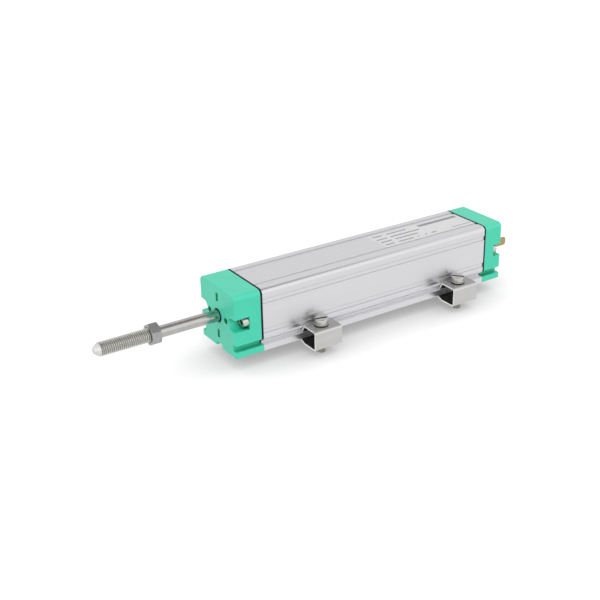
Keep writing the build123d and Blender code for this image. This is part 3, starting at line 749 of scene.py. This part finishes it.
def addShank(screw, axis):
    # a threaded shank below the head, made along X and stood up
    shank = bmesh.new()
    tip, top = screwShape["tip"], screwShape["threadTop"]
    threadShell(
        shank, screwThread, screwShape["threadStart"], top,
        screwPaints.index("paintedShade"), screwPaints.index("shadedSteel"),
    )
    lathe(shank, [
        (tip, 0), (tip, screwShape["tipRadius"]), (tip + screwShape["tipEdge"], screwShape["bodyRadius"]),
        (top, screwShape["topRadius"]), (top + screwShape["topDepth"], 0),
    ], screwThread["steps"])
    # the visible shank and tip take a darker steel as painted shade
    paintFaces(shank, screwPaints, "shadedSteel", lambda middle, normal: (
        hypot(middle.y, middle.z) > screwShape["darkWithin"] * mm or middle.x < screwShape["darkAbove"] * mm))
    bmesh.ops.rotate(shank, verts=shank.verts, cent=(0, 0, 0), matrix=Matrix.Rotation(-pi / 2, 3, "Y"))
    bmesh.ops.translate(shank, verts=shank.verts, vec=(axis.x, axis.y, 0))
    carrier = bpy.data.meshes.new("shank")
    shank.to_mesh(carrier)
    shank.free()
    screw.from_mesh(carrier)
    bpy.data.meshes.remove(carrier)


def makeScrew(place, title):
    node = f"clamp_screw_{place}"
    axis = boxMiddle(node)
    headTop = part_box(node)[1].z
    shallow, deep = screwShape["slotDepths"]

    def inSlot(middle, normal):
        x, y = abs(middle.x - axis.x), abs(middle.y - axis.y)
        return (
            min(x, y) < screwShape["slotHalf"] * mm and hypot(x, y) < screwShape["slotReach"] * mm
            and shallow * mm < headTop - middle.z < deep * mm)

    screw = solidCopy(node)
    cutAway(screw, (0, 0, screwShape["threadTop"] * mm), (0, 0, -1))
    roundEdges(screw, screwShape["headEdge"])
    # painted shade in the slot
    paintFaces(screw, screwPaints, "paintedShade", inSlot)
    turnUpright(screw, axis, radians(slotTurns[place]))
    addShank(screw, axis)
    addPiece(screw, "clampScrew" + title, f"clamp_{place}", screwPaints, (node,))


for sideName in sideNames:
    for endName in endNames:
        place, title = f"{endName}_{sideName}", endName.capitalize() + sideName.capitalize()
        makeClamp(place, title)
        makeWasher(place, title)
        makeScrew(place, title)
print("clamps made")

# Data label on the top face, with plain bars where the print is
labelShape = {
    "start": 5.6, "end": 65.3, "halfWidth": 8.75, "thickness": 0.06, "corner": 0.8, "cornerSteps": 4, "ink": 0.012,
}
printBars = (
    # start, end, middle and height of each bar, y from the body's middle
    (7.4, 13.6, 6.0, 1.1), (16.8, 29.6, 6.0, 1.1), (7.2, 14.0, 1.8, 1.1), (16.2, 35.6, 1.8, 1.1),
    (7.2, 14.4, -2.0, 1.1), (16.8, 31.8, -2.0, 1.1), (7.2, 13.2, -6.0, 1.1), (15.8, 26.0, -6.0, 1.1),
    (28.6, 29.8, -5.9, 1.1), (33.8, 35.0, -5.9, 1.1), (38.2, 41.6, -5.9, 1.1), (38.0, 64.4, 5.6, 2.6),
    (52.6, 64.6, -6.2, 0.7),
)
labelSeat = profileHigh.z - bodyShape["labelSink"] * mm
labelTop = labelSeat + labelShape["thickness"] * mm


def addSlab(bm, x0, x1, y0, y1, z0, z1):
    size = Matrix.Diagonal(((x1 - x0), (y1 - y0), (z1 - z0), 1))
    middle = Matrix.Translation(((x0 + x1) / 2, (y0 + y1) / 2, (z0 + z1) / 2))
    bmesh.ops.create_cube(bm, size=1, matrix=middle @ size)


label = bmesh.new()
halfWidth = labelShape["halfWidth"] * mm
addSlab(label, labelShape["start"] * mm, labelShape["end"] * mm, -halfWidth, halfWidth, labelSeat, labelTop)
uprights = [edge for edge in label.edges if abs(edge.verts[0].co.z - edge.verts[1].co.z) > sameSpot]
bmesh.ops.bevel(
    label, geom=uprights, offset=labelShape["corner"] * mm, offset_type="OFFSET", affect="EDGES",
    segments=labelShape["cornerSteps"], profile=0.5, material=-1,
)
addPiece(label, "dataLabel", "housing", ("labelFilm",))  # no slot of the record is a label's
ink = bmesh.new()
for start, end, middleY, height in printBars:
    addSlab(
        ink, start * mm, end * mm, (middleY - height / 2) * mm, (middleY + height / 2) * mm,
        labelTop, labelTop + labelShape["ink"] * mm,
    )
addPiece(ink, "labelPrint", "housing", ("labelInk",))
print("label made")

# Pieces inside the housing keep their solids and get their own finish
insideFinishes = {
    "rod_bush": "bushPlastic", "front_bumper": "sealRubber", "rear_bumper": "sealRubber",
    "track_board": "boardLaminate", "resistive_track": "trackCarbon", "collector_track": "trackCarbon",
    "track_leads": "contactBrass", "carriage": "carriagePlastic", "ball_retainer": "carriagePlastic",
    "wiper_contacts": "contactBrass",
}
for node, finish in insideFinishes.items():
    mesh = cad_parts[node].data
    mesh.materials.clear()
    mesh.materials.append(finishes[finish])
print("inner pieces finished")

# Floor: it glows a little by itself, so that it is pale, and less so near the part, a painted shadow on top of the
# real one
floorShape = {
    "height": -4.6, "halfSize": 4000, "colour": 0.12,
    "base": 0.38,  # brightness for every ray
    "glow": 0.78, "dip": -0.138,  # more for the camera: the openness times the first, plus the second, which paints a shadow near the part
    "sheen": 0.54,  # more for reflections
    "shadowReach": 33,
}
floorMesh = bmesh.new()
bmesh.ops.create_grid(floorMesh, x_segments=1, y_segments=1, size=floorShape["halfSize"] * mm)
bmesh.ops.translate(floorMesh, verts=floorMesh.verts, vec=(0, 0, floorShape["height"] * mm))
mesh = bpy.data.meshes.new("floor")
floorMesh.to_mesh(mesh)
floorMesh.free()
floor = bpy.data.objects.new("floor", mesh)
bpy.context.scene.collection.objects.link(floor)
floorPaper = bpy.data.materials.new("floorPaper")
floorPaper.use_nodes = True
nodes, links = floorPaper.node_tree.nodes, floorPaper.node_tree.links
nodes.clear()
output = nodes.new("ShaderNodeOutputMaterial")
matt = nodes.new("ShaderNodeBsdfDiffuse")
matt.inputs["Color"].default_value = (floorShape["colour"],) * 3 + (1,)
rays = nodes.new("ShaderNodeLightPath")
shadow = addMath(
    nodes, links, "MULTIPLY_ADD", addOpenness(nodes, floorShape["shadowReach"]), floorShape["glow"],
    floorShape["dip"])
inReflections = addMath(
    nodes, links, "MULTIPLY_ADD", rays.outputs["Is Glossy Ray"], floorShape["sheen"], floorShape["base"])
level = addMath(nodes, links, "MULTIPLY_ADD", rays.outputs["Is Camera Ray"], shadow, inReflections)
glow = nodes.new("ShaderNodeEmission")
both = nodes.new("ShaderNodeAddShader")
links.new(level, glow.inputs["Strength"])
links.new(matt.outputs["BSDF"], both.inputs[0])
links.new(glow.outputs["Emission"], both.inputs[1])
links.new(both.outputs["Shader"], output.inputs["Surface"])
mesh.materials.append(floorPaper)

# Light: a bright room with a darker ceiling, white where the camera sees it, and one soft lamp
room = {
    "bright": 1.2, "dark": 0.42, "darkWay": (0, -0.11, 0.994),
    "darkFrom": 0.78, "darkTo": 0.885,  # how nearly a direction points that way
    "tilt": (-0.1, -0.25, 0),  # a little more light from the near side
}
softLamp = {"size": 2.4, "power": 3.0, "place": (0.1, -1.2, 0.7)}


def addShareAlong(nodes, links, direction, way):
    product = nodes.new("ShaderNodeVectorMath")
    product.operation = "DOT_PRODUCT"
    product.inputs[1].default_value = way
    links.new(direction, product.inputs[0])
    return product.outputs["Value"]


world = bpy.data.worlds.new("studioLight")
bpy.context.scene.world = world
world.use_nodes = True
nodes, links = world.node_tree.nodes, world.node_tree.links
nodes.clear()
output = nodes.new("ShaderNodeOutputWorld")
direction = nodes.new("ShaderNodeTexCoord").outputs["Generated"]
towards = addRange(nodes, links, addShareAlong(nodes, links, direction, room["darkWay"]), -1.0, 1.0)
ramp = nodes.new("ShaderNodeValToRGB")
stops = ((room["darkFrom"], room["bright"]), (room["darkTo"], room["dark"]))
for stop, (place, tone) in zip(ramp.color_ramp.elements, stops):
    stop.position = (1 + place) / 2
    stop.color = (tone,) * 3 + (1,)
strength = addMath(nodes, links, "ADD", addShareAlong(nodes, links, direction, room["tilt"]), 1.0)
sky = nodes.new("ShaderNodeBackground")
white = nodes.new("ShaderNodeBackground")
white.inputs["Color"].default_value = (1, 1, 1, 1)
rays = nodes.new("ShaderNodeLightPath")
choice = nodes.new("ShaderNodeMixShader")
links.new(towards, ramp.inputs["Fac"])
links.new(ramp.outputs["Color"], sky.inputs["Color"])
links.new(strength, sky.inputs["Strength"])
links.new(rays.outputs["Is Camera Ray"], choice.inputs["Fac"])
links.new(sky.outputs["Background"], choice.inputs[1])
links.new(white.outputs["Background"], choice.inputs[2])
links.new(choice.outputs["Shader"], output.inputs["Surface"])

lampData = bpy.data.lights.new("softLamp", "AREA")
lampData.shape = "SQUARE"
lampData.size = softLamp["size"]
lampData.energy = softLamp["power"]
lamp = bpy.data.objects.new("softLamp", lampData)
bpy.context.scene.collection.objects.link(lamp)
lamp.location = softLamp["place"]
lamp.visible_glossy = False
lamp.rotation_euler = (-Vector(softLamp["place"])).to_track_quat("-Z", "Y").to_euler()

# Camera, at the angle of the photo
view = {
    "turn": -32.5802, "height": 25.0314, "roll": -1.2211,  # degrees
    "place": (-305.96, -411.41, 243.18), "lens": 62.98, "sensor": 36,
}
turn, height, roll = (radians(view[key]) for key in ("turn", "height", "roll"))
back = Vector((sin(turn) * cos(height), -cos(turn) * cos(height), sin(height)))
right = (-back).cross(Vector((0, 0, 1))).normalized()
up = right.cross(-back)
across = right * cos(roll) + up * sin(roll)
upward = up * cos(roll) - right * sin(roll)
cameraData = bpy.data.cameras.new("camera")
cameraData.lens = view["lens"]
cameraData.sensor_width = view["sensor"]
camera = bpy.data.objects.new("camera", cameraData)
bpy.context.scene.collection.objects.link(camera)
stand = Matrix.Translation(Vector(view["place"]) * mm)
camera.matrix_world = stand @ Matrix((across, upward, back)).transposed().to_4x4()
bpy.context.scene.camera = camera
bpy.context.scene.view_settings.view_transform = "Standard"
print("studio ready")
